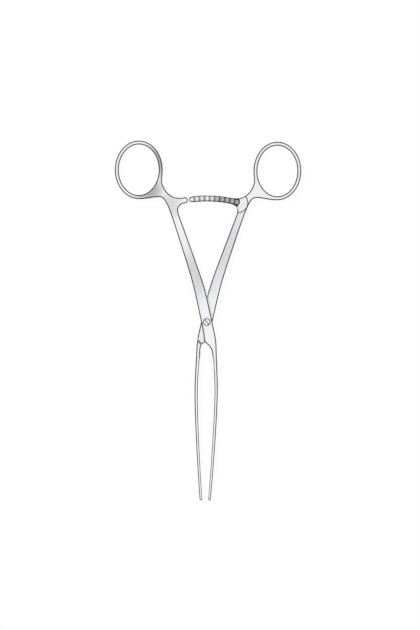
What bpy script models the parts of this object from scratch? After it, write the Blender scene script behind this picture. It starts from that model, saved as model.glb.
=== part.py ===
"""Bowel clamp: two forged halves that cross in a lap joint, held by one slotted screw.

Metres. +X is right, +Y runs from the joint to the finger rings, +Z rises from the table.
The joint's axis is the Z axis, and the clamp lies on the back of its joint at z = 0.
Both halves are drawn alike, seen from outside, and the rear half is turned over about Y. The rear half
has the long toothed arm and a tighter crotch.
"""

import math

import bmesh
import bpy
from mathutils import Vector

MM = 0.001

# Joint
JOINT_DEPTH = 5.6 * MM
JOINT_WIDTH = 7.1 * MM
JOINT_TILT = math.radians(12.6)
JOINT_TOP = 20.0 * MM
JOINT_FOOT = 9.0 * MM
LAP_GAP = 0.3 * MM
SHOULDER_GAP = 0.3 * MM
CLOSING_ROOM = math.radians(2.3)
OPENING_ROOM_RADIUS = 5.6 * MM
LOWER_SHOULDER_REACH = 12.6 * MM
LOWER_SHOULDER_BEARING = math.radians(-68.6)
LOWER_SHOULDER_SLOPE = math.radians(50.0)
LOWER_SHOULDER_DRAFT = 1.3 * MM

# Screw
SCREW_HEAD_DIAMETER = 4.6 * MM
SCREW_HEAD_DEPTH = 1.2 * MM
SCREW_HEAD_RIM = 0.2 * MM
SCREW_SHANK_DIAMETER = 3.0 * MM
SCREW_CLEARANCE = 0.25 * MM
SLOT_WIDTH = 0.6 * MM
SLOT_DEPTH = 0.6 * MM
SLOT_ANGLE = math.radians(-50)

# Ratchet
RATCHET_RADIUS = 79.0 * MM
RATCHET_WIDTH = 3.8 * MM
RATCHET_ROOM = 0.7 * MM
TOOTH_COUNT = 10
TOOTH_PITCH = math.radians(2.355)
TOOTH_HEIGHT = 0.65 * MM
TOOTH_GAP = 0.15 * MM
TOOTH_BOW = math.radians(0.35)
LAST_TOOTH_ANGLE = math.radians(14.5)
RATCHET_ROOT_ANGLE = math.radians(-15.0)
ARM_ROOT_ANGLE = math.radians(-12.6)
ARM_END_ANGLE = math.radians(9.1)
STUB_END_ANGLE = math.radians(-9.3)
STUB_TOOTH_COUNT = 2
POCKET_RADIUS = 5.9 * MM
POCKET_ANGLE = math.radians(-14.27)
POCKET_DROP = 0.27 * MM

# Finger ring, whose centre stands above the ratchet's arc
RING_CENTRE_X = 44.25 * MM
RING_RISE = 17.8 * MM
RING_CENTRE_Y = RATCHET_RADIUS + RING_RISE
RING_HOLE_WIDTH = 25.4 * MM
RING_HOLE_HEIGHT = 32.2 * MM
RING_BAR_WIDTH = 2.6 * MM
RING_BAR_DEPTH = 4.5 * MM
RING_SEGMENTS = 16

# Shank, from the web under the ring down to the joint
SHANK_TOP_DROP = 13.0 * MM
SHANK_TOP_Y = RATCHET_RADIUS - SHANK_TOP_DROP
SHANK_TOP_X = 20.0 * MM
SHANK_TOP_WIDTH = 5.1 * MM
SHANK_FOOT_Y = 29.0 * MM
SHANK_FOOT_X = 7.15 * MM
SHANK_FOOT_WIDTH = 6.7 * MM
SHANK_DEPTH = 4.4 * MM

# Web between the ring and the shank: cage points from the ring's centre, then from the ratchet's root
WEB_BY_RING = (
    ((8.2, -17.9), (10.2, -15.2), (13.3, -12.4), (15.7, -10.2)),
    ((14.2, -16.8), (15.0, -16.0), (16.4, -15.0), (17.6, -14.1)),
)
WEB_BY_RATCHET = (
    ((-7.1, 1.5), (-6.0, 2.0), (-3.3, 2.8), (-1.7, 3.1)),
    ((-4.7, -3.3), (-3.3, -3.1), (-0.5, -3.3), (1.3, -3.3)),
    ((-3.5, -6.8), (-2.3, -6.8), (0.2, -6.8), (1.6, -6.8)),
)

# Crotch, where the lap narrows into the jaw: cage points from the joint's axis, the outer ones on the jaw's back
FRONT_CROTCH = (
    ((-1.9, -12.9), (0.2, -13.3), (4.3, -13.3), (6.25, -13.0)),
    ((2.5, -15.5), (3.35, -16.0), (5.3, -16.2), (6.45, -16.3)),
)
REAR_CROTCH = (
    ((-0.9, -12.2), (1.0, -12.3), (4.0, -12.4), (6.1, -12.4)),
    ((4.1, -14.4), (4.6, -14.6), (5.5, -15.0), (6.45, -15.6)),
)

# Jaw
JAW_LENGTH = 113.9 * MM
JAW_ROOT_Y = 20.0 * MM
JAW_ROOT_X = 5.35 * MM
JAW_ROOT_WIDTH = 2.3 * MM
JAW_ROOT_DEPTH = 5.0 * MM
JAW_BELLY_Y = 45.0 * MM
JAW_BELLY_X = 6.45 * MM
JAW_BELLY_WIDTH = 2.1 * MM
JAW_WAIST_Y = 82.0 * MM
JAW_WAIST_X = 4.9 * MM
JAW_TIP_X = 2.75 * MM
JAW_TIP_WIDTH = 1.6 * MM
JAW_TIP_DEPTH = 3.2 * MM
JAW_TIP_ROUND = 1.6 * MM
JAW_ROWS = 3
FACE_STOCK = 0.35 * MM
GROOVE_COUNT = 4
GROOVE_PITCH = 0.62 * MM
GROOVE_DEPTH = 0.3 * MM
GROOVE_START_Y = 23.0 * MM

# How much Subdivision Surface draws a cage in, and the share of a section that stays flat
BAR_LOSS = 44 / 48
FLAT_SHARE = 0.45
SECTION_LOSS = (46 + 2 * FLAT_SHARE) / 48
RING_LOSS = (4 + 2 * math.cos(math.tau / RING_SEGMENTS)) / 6
SMOOTH_LEVEL = 1
FAR = 40 * MM


def clear_scene():
    """Remove the objects of the start-up file."""
    for item in list(bpy.data.objects):
        bpy.data.objects.remove(item, do_unlink=True)


def collection(name):
    """A new collection in the scene."""
    made = bpy.data.collections.new(name)
    bpy.context.scene.collection.children.link(made)
    return made


def steel(name, colour, roughness):
    """A stainless steel surface."""
    material = bpy.data.materials.new(name)
    material.use_nodes = True
    shader = material.node_tree.nodes["Principled BSDF"]
    shader.inputs["Base Color"].default_value = (*colour, 1)
    shader.inputs["Metallic"].default_value = 1
    shader.inputs["Roughness"].default_value = roughness
    return material


def polar(radius, angle):
    """The point at a radius from the joint and an angle from +Y towards +X."""
    return radius * math.sin(angle), radius * math.cos(angle)


def mesh_object(name, bm, group, material=None):
    """An object in a collection, made from a bmesh."""
    mesh = bpy.data.meshes.new(name)
    bm.to_mesh(mesh)
    bm.free()
    item = bpy.data.objects.new(name, mesh)
    group.objects.link(item)
    if material:
        mesh.materials.append(material)
    return item


def smooth_between(points, y):
    """A value at y on the smooth curve through (y, value) points, whose y falls from first to last."""
    slopes = []
    for i in range(len(points)):
        before, after = points[max(i - 1, 0)], points[min(i + 1, len(points) - 1)]
        slopes.append((after[1] - before[1]) / (after[0] - before[0]))
    for i in range(len(points) - 1):
        (y0, v0), (y1, v1) = points[i], points[i + 1]
        if y >= y1 or i == len(points) - 2:
            t = (y - y0) / (y1 - y0)
            rise, fall = 2 * t**3 - 3 * t**2 + 1, -2 * t**3 + 3 * t**2
            start, end = t**3 - 2 * t**2 + t, t**3 - t**2
            return rise * v0 + fall * v1 + (y1 - y0) * (start * slopes[i] + end * slopes[i + 1])
    raise ValueError("the curve needs two points")


def joint_centre(y):
    """The middle of the tilted bar that passes through the joint."""
    return -y * math.tan(JOINT_TILT)


def shank_section(y):
    """Centre, width and depth of the shank, from the web to the joint."""
    bar = JOINT_WIDTH / math.cos(JOINT_TILT)
    centre = ((SHANK_TOP_Y, -SHANK_TOP_X), (SHANK_FOOT_Y, -SHANK_FOOT_X), (JOINT_TOP, joint_centre(JOINT_TOP)),
              (-JOINT_FOOT, joint_centre(-JOINT_FOOT)))
    width = ((SHANK_TOP_Y, SHANK_TOP_WIDTH), (SHANK_FOOT_Y, SHANK_FOOT_WIDTH), (JOINT_TOP, bar), (-JOINT_FOOT, bar))
    depth = ((SHANK_TOP_Y, SHANK_DEPTH), (SHANK_FOOT_Y, SHANK_DEPTH), (JOINT_TOP, JOINT_DEPTH),
             (-JOINT_FOOT, JOINT_DEPTH))
    if y <= JOINT_TOP:
        return joint_centre(y), bar, JOINT_DEPTH
    return smooth_between(centre, y), smooth_between(width, y), smooth_between(depth, y)


def jaw_section(y):
    """Centre, width and depth of the jaw, from its root to its tip."""
    centre = ((-JAW_ROOT_Y, JAW_ROOT_X), (-JAW_BELLY_Y, JAW_BELLY_X), (-JAW_WAIST_Y, JAW_WAIST_X),
              (-JAW_LENGTH, JAW_TIP_X))
    width = ((-JAW_ROOT_Y, JAW_ROOT_WIDTH), (-JAW_BELLY_Y, JAW_BELLY_WIDTH), (-JAW_LENGTH, JAW_TIP_WIDTH))
    depth = ((-JAW_ROOT_Y, JAW_ROOT_DEPTH), (-JAW_LENGTH, JAW_TIP_DEPTH))
    return smooth_between(centre, y), smooth_between(width, y), smooth_between(depth, y)


def jaw_stations():
    """The distance of each cage row of the jaw from the joint, spread between its named places."""
    places = (JAW_ROOT_Y, JAW_BELLY_Y, JAW_WAIST_Y, JAW_LENGTH - JAW_TIP_ROUND)
    stations = [JAW_ROOT_Y]
    for start, end in zip(places, places[1:]):
        stations += [start + (end - start) * i / JAW_ROWS for i in range(1, JAW_ROWS + 1)]
    return stations + [JAW_LENGTH]


def face_line(y):
    """The x of the jaw's clamping face."""
    centre, width, _ = jaw_section(y)
    return centre - width / 2


def ring_point(angle, offset):
    """A cage point of the finger ring, offset outwards from the middle of its bar."""
    across = (RING_HOLE_WIDTH + RING_BAR_WIDTH) / 2 / RING_LOSS + offset
    along = (RING_HOLE_HEIGHT + RING_BAR_WIDTH) / 2 / RING_LOSS + offset
    return -RING_CENTRE_X + across * math.cos(angle), RING_CENTRE_Y + along * math.sin(angle)


def section_points(y, centre, width):
    """The four cage points across a section."""
    half = width / 2 / SECTION_LOSS
    return [(centre + share * half, y) for share in (-1, -FLAT_SHARE, FLAT_SHARE, 1)]


def placed(row, x, y):
    """A row of cage points in millimetres, moved to a place in metres."""
    return [(x + across * MM, y + along * MM) for across, along in row]


def body_rows(crotch):
    """Cage rows from the web under the ring to the jaw's tip: four points and a depth each."""
    rows = [(placed(row, -RING_CENTRE_X, RING_CENTRE_Y), SHANK_DEPTH) for row in WEB_BY_RING]
    rows += [(placed(row, *polar(RATCHET_RADIUS, RATCHET_ROOT_ANGLE)), SHANK_DEPTH) for row in WEB_BY_RATCHET]
    for y in (SHANK_TOP_Y, (SHANK_TOP_Y + SHANK_FOOT_Y) / 2, SHANK_FOOT_Y, JOINT_TOP, 0.4 * JOINT_TOP, 0, -JOINT_FOOT):
        centre, width, depth = shank_section(y)
        rows.append((section_points(y, centre, width), depth))
    rows += [(placed(row, 0, 0), JOINT_DEPTH) for row in crotch]
    for y in jaw_stations():
        centre, width, depth = jaw_section(-y)
        row = section_points(-y, centre - FACE_STOCK / 2, width + FACE_STOCK)
        rows.append((row, depth))
    return rows


def arm_pairs(end_angle):
    """Cage points along the ratchet arm, its upper and lower edges, from the shank to its free end."""
    half = RATCHET_WIDTH / 2 / BAR_LOSS
    count = max(2, round((end_angle - ARM_ROOT_ANGLE) / math.radians(4.5)))
    pairs = []
    for i in range(count + 1):
        angle = ARM_ROOT_ANGLE + (end_angle - ARM_ROOT_ANGLE) * i / count
        pairs.append((polar(RATCHET_RADIUS + half, angle), polar(RATCHET_RADIUS - half, angle)))
    return pairs


def plan_sheet(name, group, material, crotch, arm_end):
    """One half seen from above, as a sheet of quads whose weights hold its depth."""
    bm = bmesh.new()
    weights = {}

    def vertex(point, depth):
        made = bm.verts.new((*point, 0))
        weights[made] = depth / JOINT_DEPTH
        return made

    bar = RING_BAR_WIDTH / 2 / BAR_LOSS / RING_LOSS
    depth = RING_BAR_DEPTH / BAR_LOSS
    angles = [math.tau * k / RING_SEGMENTS for k in range(RING_SEGMENTS)]
    inner = [vertex(ring_point(a, -bar), depth) for a in angles]
    outer = [vertex(ring_point(a, bar), depth) for a in angles]
    for k in range(RING_SEGMENTS):
        after = (k + 1) % RING_SEGMENTS
        bm.faces.new((inner[k], outer[k], outer[after], inner[after]))
    first = RING_SEGMENTS - 4
    rows = [[outer[first + j] for j in range(4)]]
    rows += [[vertex(point, row_depth) for point in points] for points, row_depth in body_rows(crotch)]
    for upper, lower in zip(rows, rows[1:]):
        for j in range(3):
            bm.faces.new((upper[j], lower[j], lower[j + 1], upper[j + 1]))
    edge = (rows[3][3], rows[4][3])
    for upper_point, lower_point in arm_pairs(arm_end):
        pair = (vertex(upper_point, SHANK_DEPTH / BAR_LOSS), vertex(lower_point, SHANK_DEPTH / BAR_LOSS))
        bm.faces.new((edge[0], edge[1], pair[1], pair[0]))
        edge = pair
    bm.verts.index_update()
    by_index = {v.index: weight for v, weight in weights.items()}
    sheet = mesh_object(name, bm, group, material)
    depth_group = sheet.vertex_groups.new(name="depth")
    for index, weight in by_index.items():
        depth_group.add([index], weight, "REPLACE")
    return sheet


def forge(sheet):
    """Thicken a half's sheet to its depth and round it."""
    solid = sheet.modifiers.new("depth", "SOLIDIFY")
    solid.thickness = JOINT_DEPTH
    solid.offset = 0
    solid.vertex_group = "depth"
    rounding = sheet.modifiers.new("forged surface", "SUBSURF")
    rounding.levels = SMOOTH_LEVEL
    rounding.render_levels = SMOOTH_LEVEL


def as_cutter(item, half, name):
    """Let an object cut a half, in the half's own frame."""
    item.parent = half
    item.hide_render = True
    item.display_type = "WIRE"
    cut = half.modifiers.new(name, "BOOLEAN")
    cut.operation = "DIFFERENCE"
    cut.solver = "EXACT"
    cut.object = item


def prism(name, outline, low, high, group):
    """A flat outline raised from low to high."""
    bm = bmesh.new()
    face = bm.faces.new([bm.verts.new((x, y, low)) for x, y in outline])
    if face.normal.z < 0:
        face.normal_flip()
    raised = bmesh.ops.extrude_face_region(bm, geom=[face])["geom"]
    bmesh.ops.translate(bm, vec=(0, 0, high - low), verts=[v for v in raised if isinstance(v, bmesh.types.BMVert)])
    bmesh.ops.recalc_face_normals(bm, faces=bm.faces)
    return mesh_object(name, bm, group)


def loft(name, sections, group):
    """A closed solid through sections that have as many points each."""
    bm = bmesh.new()
    loops = [[bm.verts.new(point) for point in section] for section in sections]
    for before, after in zip(loops, loops[1:]):
        for i in range(len(before)):
            j = (i + 1) % len(before)
            bm.faces.new((before[i], before[j], after[j], after[i]))
    bm.faces.new(loops[0])
    bm.faces.new(loops[-1])
    bmesh.ops.recalc_face_normals(bm, faces=bm.faces)
    return mesh_object(name, bm, group)


def drum(name, radius, low, high, group, place=(0, 0), sides=40):
    """A round cutter."""
    bm = bmesh.new()
    bmesh.ops.create_cone(bm, cap_ends=True, segments=sides, radius1=radius, radius2=radius, depth=high - low)
    bmesh.ops.translate(bm, vec=(*place, (low + high) / 2), verts=bm.verts)
    return mesh_object(name, bm, group)


def lap_outline(draft):
    """The recess for the other half: its straight edge, the room it swings in, and the lower shoulder's line."""
    bearing = math.pi - JOINT_TILT + CLOSING_ROOM
    reach = JOINT_WIDTH / 2 + SHOULDER_GAP
    out = Vector((math.cos(bearing), math.sin(bearing)))
    along = Vector((-out.y, out.x))
    outline = [tuple(out * reach - along * FAR)]
    spread = math.acos(reach / OPENING_ROOM_RADIUS)
    arc_end = math.radians(205)
    steps = 12
    for i in range(steps + 1):
        angle = bearing - spread + (arc_end - bearing + spread) * i / steps
        outline.append((OPENING_ROOM_RADIUS * math.cos(angle), OPENING_ROOM_RADIUS * math.sin(angle)))
    corner = Vector((math.cos(LOWER_SHOULDER_BEARING), math.sin(LOWER_SHOULDER_BEARING))) * LOWER_SHOULDER_REACH
    slope = Vector((math.cos(LOWER_SHOULDER_SLOPE), math.sin(LOWER_SHOULDER_SLOPE)))
    corner += Vector((slope.y, -slope.x)) * draft
    low = corner - slope * FAR / 2
    outline += [(-FAR / 2, low.y), tuple(low), tuple(corner + slope * FAR / 2)]
    return outline


def lap_sections():
    """The recess at its floor and beyond the outer face, where the slanted lower shoulder stands further off."""
    floor, beyond = LAP_GAP / 2, -JOINT_DEPTH
    draft = LOWER_SHOULDER_DRAFT * (floor - beyond) / (floor + JOINT_DEPTH / 2)
    return [[(x, y, z) for x, y in lap_outline(d)] for z, d in ((beyond, draft), (floor, 0))]


def saw_sections(profile):
    """Sections across the ratchet's arc for a cutter whose upper side follows (angle, height) points."""
    inner = RATCHET_RADIUS - RATCHET_WIDTH / 2 - RATCHET_ROOM
    outer = RATCHET_RADIUS + RATCHET_WIDTH / 2 + RATCHET_ROOM
    steps = 5
    sections = []
    for i in range(steps):
        share = 2 * i / (steps - 1) - 1
        radius = (inner + outer) / 2 + share * (outer - inner) / 2
        bow = TOOTH_BOW * (1 - share**2)
        top = [(*polar(radius, angle + bow), height) for angle, height in profile]
        foot = [(*polar(radius, angle + bow), -FAR / 4) for angle in (profile[-1][0], profile[0][0])]
        sections.append(top + foot)
    return sections


def arm_profile():
    """The toothed side of the long arm: ramps that sink towards its free end."""
    high, low = TOOTH_HEIGHT / 2 - TOOTH_GAP, -TOOTH_HEIGHT / 2 - TOOTH_GAP
    floor, peak = high + TOOTH_GAP, low + TOOTH_GAP
    edge = math.radians(0.12)
    points = [(-LAST_TOOTH_ANGLE - edge, floor)]
    for k in range(TOOTH_COUNT):
        start = -LAST_TOOTH_ANGLE + k * TOOTH_PITCH
        points += [(start, peak), (start + TOOTH_PITCH - edge, floor)]
    return points + [(ARM_END_ANGLE + 2 * TOOTH_PITCH, floor)]


def stub_profile():
    """The toothed side of the short stub, and the channel through which the arm passes."""
    ceiling = TOOTH_HEIGHT / 2 + TOOTH_GAP
    low = -TOOTH_HEIGHT / 2 + TOOTH_GAP
    edge = math.radians(0.12)
    last = STUB_END_ANGLE
    points = [(math.radians(-24), ceiling)]
    for k in range(STUB_TOOTH_COUNT, 0, -1):
        start = last - k * TOOTH_PITCH
        points += [(start, ceiling), (start + edge, low)]
    return points + [(last, ceiling), (last + 2 * TOOTH_PITCH, ceiling)]


def pocket_outline():
    """The D-shaped pocket at the root of the arm: its straight side runs along the last tooth."""
    centre = Vector(polar(RATCHET_RADIUS - POCKET_DROP, POCKET_ANGLE))
    side = Vector(polar(RATCHET_RADIUS, -LAST_TOOTH_ANGLE))
    out = side.normalized()
    across = (side - centre).dot(Vector((out.y, -out.x)))
    half = math.sqrt(POCKET_RADIUS**2 - across**2)
    middle = centre + Vector((out.y, -out.x)) * across
    first = middle + out * half - centre
    last = middle - out * half - centre
    start, end = math.atan2(first.y, first.x), math.atan2(last.y, last.x)
    if end < start:
        end += math.tau
    steps = 14
    angles = [start + (end - start) * i / steps for i in range(steps + 1)]
    return [(centre.x + POCKET_RADIUS * math.cos(a), centre.y + POCKET_RADIUS * math.sin(a)) for a in angles]


def groove_sections():
    """Sections of the cutter that grinds the clamping face flat and cuts its long grooves."""
    edge = [(0, -JOINT_DEPTH)]
    foot = -GROOVE_PITCH * GROOVE_COUNT / 2
    for k in range(GROOVE_COUNT):
        start = foot + k * GROOVE_PITCH
        edge += [(0, start + 0.1 * GROOVE_PITCH), (GROOVE_DEPTH, start + GROOVE_PITCH / 2),
                 (0, start + 0.9 * GROOVE_PITCH)]
    edge += [(0, JOINT_DEPTH), (-2 * MM, JOINT_DEPTH), (-2 * MM, -JOINT_DEPTH)]
    count = 14
    sections = []
    for i in range(count):
        y = -GROOVE_START_Y - (JAW_LENGTH + 2 * MM - GROOVE_START_Y) * i / (count - 1)
        sections.append([(face_line(y) + x, y, z) for x, z in edge])
    return sections


def half(name, group, cutters, material, crotch, arm_end, saw_profile):
    """One forged half, with its lap, bore, clamping face and ratchet cut."""
    item = plan_sheet(name, group, material, crotch, arm_end)
    forge(item)
    as_cutter(loft(f"{name}_lap_cutter", lap_sections(), cutters), item, "lap")
    bore = SCREW_SHANK_DIAMETER / 2 + SCREW_CLEARANCE
    as_cutter(drum(f"{name}_bore_cutter", bore, -FAR / 4, FAR / 4, cutters), item, "screw bore")
    as_cutter(loft(f"{name}_face_cutter", groove_sections(), cutters), item, "clamping face")
    as_cutter(loft(f"{name}_saw_cutter", saw_sections(saw_profile), cutters), item, "ratchet")
    return item


def screw(group, cutters, material):
    """The joint's screw: a round head with a rounded rim and a slot, on a plain shank."""
    head, shank = SCREW_HEAD_DIAMETER / 2, SCREW_SHANK_DIAMETER / 2
    top = JOINT_DEPTH
    profile = [(0, top), (head - SCREW_HEAD_RIM, top), (head, top - SCREW_HEAD_RIM), (head, top - SCREW_HEAD_DEPTH),
               (shank, top - SCREW_HEAD_DEPTH), (shank, 0), (0, 0)]
    bm = bmesh.new()
    points = [bm.verts.new((x, 0, z)) for x, z in profile]
    for a, b in zip(points, points[1:]):
        bm.edges.new((a, b))
    item = mesh_object("joint_screw", bm, group, material)
    turn = item.modifiers.new("turned", "SCREW")
    turn.steps = 32
    turn.render_steps = 32
    turn.use_merge_vertices = True
    turn.merge_threshold = 0.00001
    bm = bmesh.new()
    bmesh.ops.create_cube(bm, size=1)
    bmesh.ops.scale(bm, vec=(2 * SCREW_HEAD_DIAMETER, SLOT_WIDTH, 2 * SLOT_DEPTH), verts=bm.verts)
    slot = mesh_object("slot_cutter", bm, cutters)
    slot.location = (0, 0, top)
    slot.rotation_euler = (0, 0, SLOT_ANGLE)
    as_cutter(slot, item, "slot")
    return item


def main():
    """Build the clamp."""
    clear_scene()
    parts = collection("bowel_clamp")
    cutters = collection("cutters")
    satin = steel("satin_stainless", (0.78, 0.78, 0.79), 0.32)
    bright = steel("bright_stainless", (0.82, 0.82, 0.83), 0.2)

    front = half("front_half", parts, cutters, satin, FRONT_CROTCH, STUB_END_ANGLE, stub_profile())
    front.location.z = JOINT_DEPTH / 2
    seat = drum("head_seat_cutter", SCREW_HEAD_DIAMETER / 2 + SCREW_CLEARANCE,
                JOINT_DEPTH / 2 - SCREW_HEAD_DEPTH - SCREW_CLEARANCE, FAR / 4, cutters)
    as_cutter(seat, front, "screw head seat")

    rear = half("rear_half", parts, cutters, satin.copy(), REAR_CROTCH, ARM_END_ANGLE, arm_profile())
    rear.location.z = JOINT_DEPTH / 2
    rear.rotation_euler.y = math.pi
    pocket = prism("pocket_cutter", pocket_outline(), -FAR / 4, TOOTH_HEIGHT / 2, cutters)
    as_cutter(pocket, rear, "arm root pocket")

    screw(parts, cutters, bright)
    for item in parts.objects:
        item.data.shade_smooth()


main()
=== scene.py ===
"""Looks of the bowel clamp: two forged halves in satin stainless steel, and the screw of their lap joint.

The halves are made again from the forging's own rules, finer than the frame's solids. Each is a plan
sheet that is raised to its depth with rounded edges, and is then cut as a toolmaker cuts it: the lap,
the screw's seat, the ratchet's teeth and the grooved clamping face.
Lengths are in metres in the frame: +X right, +Y towards the finger rings, +Z up from the table.
"""

from __future__ import annotations

import logging
import math
from collections.abc import Callable
from dataclasses import dataclass, field
from enum import Enum

import bmesh
import bpy
from mathutils import Matrix, Vector
from mathutils.kdtree import KDTree

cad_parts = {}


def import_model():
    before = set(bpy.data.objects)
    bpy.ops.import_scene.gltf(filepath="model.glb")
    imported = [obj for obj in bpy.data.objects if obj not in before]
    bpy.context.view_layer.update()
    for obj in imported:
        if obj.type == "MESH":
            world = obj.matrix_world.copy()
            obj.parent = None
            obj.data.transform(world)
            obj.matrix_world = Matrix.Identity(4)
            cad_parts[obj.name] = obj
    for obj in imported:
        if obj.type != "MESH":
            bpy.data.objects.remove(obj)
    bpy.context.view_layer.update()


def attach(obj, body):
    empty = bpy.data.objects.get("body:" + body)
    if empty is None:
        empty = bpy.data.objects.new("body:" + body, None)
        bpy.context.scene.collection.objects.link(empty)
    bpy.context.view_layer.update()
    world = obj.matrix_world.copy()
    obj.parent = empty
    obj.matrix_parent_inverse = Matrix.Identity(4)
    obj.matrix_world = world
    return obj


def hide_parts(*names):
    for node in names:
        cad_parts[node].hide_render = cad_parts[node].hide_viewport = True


MM = 0.001
# Points nearer than this are one point
MERGE = 0.001 * MM
# A fold beyond this stays a crisp edge
SHARP = math.radians(28)
# Points round a turned shape
ROUND_STEPS = 96
LOG = logging.getLogger("bowel_clamp")

Point2 = tuple[float, float]
Point3 = tuple[float, float, float]

# What leaves a place's height out of a pattern
LEVEL: Point3 = (1.0, 1.0, 0.0)


class Side(Enum):
    """Which half of the clamp a forging becomes."""

    FRONT = "front"
    REAR = "rear"


class Lay(Enum):
    """How the tool or the blast left its marks on a surface."""

    BLASTED = "even grain from glass beads"
    GROUND = "fine lines along the instrument"
    TURNED = "fine rings about the screw's axis"


def linear(hex_colour: str) -> tuple[float, float, float, float]:
    """Turn an sRGB hex colour to linear light.

    Args:
        hex_colour: six hex digits.

    Returns:
        Red, green, blue and alpha.
    """
    parts = [int(hex_colour[i:i + 2], 16) / 255 for i in (0, 2, 4)]
    red, green, blue = (p / 12.92 if p <= 0.04045 else ((p + 0.055) / 1.055) ** 2.4 for p in parts)
    return red, green, blue, 1.0


def add_node(tree: bpy.types.NodeTree, kind: str, inputs: dict[str | int, object] | None = None,
             **settings: object) -> bpy.types.Node:
    """Add a node with its settings, and set or link its inputs.

    Args:
        tree: the node tree.
        kind: the node's type name.
        inputs: input name or number to a value, or to the output that feeds it.
        settings: the node's own properties.

    Returns:
        The new node.
    """
    node = tree.nodes.new(kind)
    for name, value in settings.items():
        setattr(node, name, value)
    for key, value in (inputs or {}).items():
        if isinstance(value, bpy.types.NodeSocket):
            tree.links.new(value, node.inputs[key])
        else:
            node.inputs[key].default_value = value
    return node


@dataclass(frozen=True)
class SteelFinish:
    """A stainless steel surface, named for how it was finished."""

    name: str
    bright: str
    dull: str
    roughness: float
    roughness_spread: float
    grain: float
    grain_depth: float
    lay: Lay
    stretch: float = 1.0
    grain_detail: float = 4.0
    grain_harshness: float = 0.6
    cloud: float = 9 * MM
    cloud_detail: float = 3.0
    # The part of the grain's values over which the roughness runs from its least to its most
    middle: Point2 = (0.25, 0.75)

    def material(self) -> bpy.types.Material:
        """Build the material, or find the one already built.

        Returns:
            The material.
        """
        made = bpy.data.materials.get(self.name)
        if made:
            return made
        made = bpy.data.materials.new(self.name)
        made.use_nodes = True
        tree = made.node_tree
        shader = tree.nodes["Principled BSDF"]
        shader.inputs["Metallic"].default_value = 1.0
        place = add_node(tree, "ShaderNodeTexCoord").outputs["Object"]
        grain = self._grain(tree, place)
        clouds = add_node(tree, "ShaderNodeTexNoise", {"Vector": place, "Scale": 1 / self.cloud,
                                                       "Detail": self.cloud_detail})
        tone = add_node(tree, "ShaderNodeMix", {0: clouds.outputs["Fac"], 6: linear(self.dull),
                                                7: linear(self.bright)}, data_type="RGBA")
        tree.links.new(self._colour(tree, place, tone.outputs[2]), shader.inputs["Base Color"])
        low, high = self.roughness - self.roughness_spread, self.roughness + self.roughness_spread
        matt = add_node(tree, "ShaderNodeMapRange", {"Value": grain, "From Min": self.middle[0],
                                                     "From Max": self.middle[1], "To Min": low, "To Max": high})
        tree.links.new(matt.outputs["Result"], shader.inputs["Roughness"])
        bump = add_node(tree, "ShaderNodeBump", {"Height": grain, "Strength": 1.0,
                                                 "Distance": self.grain_depth})
        tree.links.new(bump.outputs["Normal"], shader.inputs["Normal"])
        return made

    def _colour(self, tree: bpy.types.NodeTree, place: bpy.types.NodeSocket,
                tone: bpy.types.NodeSocket) -> bpy.types.NodeSocket:
        """The colour of the finish, which is its cloudy tone alone unless a finish adds to it."""
        return tone

    def _grain(self, tree: bpy.types.NodeTree, place: bpy.types.NodeSocket) -> bpy.types.NodeSocket:
        """The height pattern of the finish.

        Args:
            tree: the material's tree.
            place: object coordinates.

        Returns:
            The output that carries the height.
        """
        if self.lay is Lay.TURNED:
            flat = add_node(tree, "ShaderNodeVectorMath", {0: place, 1: LEVEL}, operation="MULTIPLY")
            radius = add_node(tree, "ShaderNodeVectorMath", {0: flat.outputs[0]}, operation="LENGTH")
            rings = add_node(tree, "ShaderNodeCombineXYZ", {"X": radius.outputs["Value"]})
            place = rings.outputs[0]
        squeeze = (1.0, 1 / self.stretch, 1.0)
        scaled = add_node(tree, "ShaderNodeMapping", {"Vector": place, "Scale": squeeze})
        noise = add_node(tree, "ShaderNodeTexNoise", {"Vector": scaled.outputs[0], "Scale": 1 / self.grain,
                                                      "Detail": self.grain_detail,
                                                      "Roughness": self.grain_harshness})
        return noise.outputs["Fac"]


@dataclass(frozen=True)
class ShadedPatchFinish(SteelFinish):
    """Satin steel with painted shade: its colour is darkened about a few places."""

    # The darker colour of the painted shade
    patch_shade_colour: str = "A6A7AD"
    # The share of each radius that has the full painted shade
    core: float = 0.2
    # Each place of painted shade: x, y and radius in millimetres, and how dark it is
    places: tuple[tuple[float, float, float, float], ...] = ()

    def _colour(self, tree: bpy.types.NodeTree, place: bpy.types.NodeSocket,
                tone: bpy.types.NodeSocket) -> bpy.types.NodeSocket:
        """Blend the steel to the painted shade's darker colour about each place.

        Args:
            tree: the material's tree.
            place: object coordinates.
            tone: the cloudy tone of the steel.

        Returns:
            The output that carries the colour.
        """
        level = add_node(tree, "ShaderNodeVectorMath", {0: place, 1: LEVEL}, operation="MULTIPLY")
        share = 0.0
        for x, y, radius, most in self.places:
            away = add_node(tree, "ShaderNodeVectorMath", {0: level.outputs[0], 1: (x * MM, y * MM, 0.0)},
                            operation="DISTANCE").outputs["Value"]
            near = add_node(tree, "ShaderNodeMapRange", {"Value": away, "From Min": self.core * radius * MM,
                                                         "From Max": radius * MM, "To Min": most, "To Max": 0.0},
                            interpolation_type="SMOOTHSTEP").outputs["Result"]
            share = add_node(tree, "ShaderNodeMath", {0: share, 1: near}, operation="MAXIMUM").outputs[0]
        # Painted shade: the colour turns darker about each place
        mixed = add_node(tree, "ShaderNodeMix", {0: share, 6: tone, 7: linear(self.patch_shade_colour)},
                         data_type="RGBA")
        return mixed.outputs[2]


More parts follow.
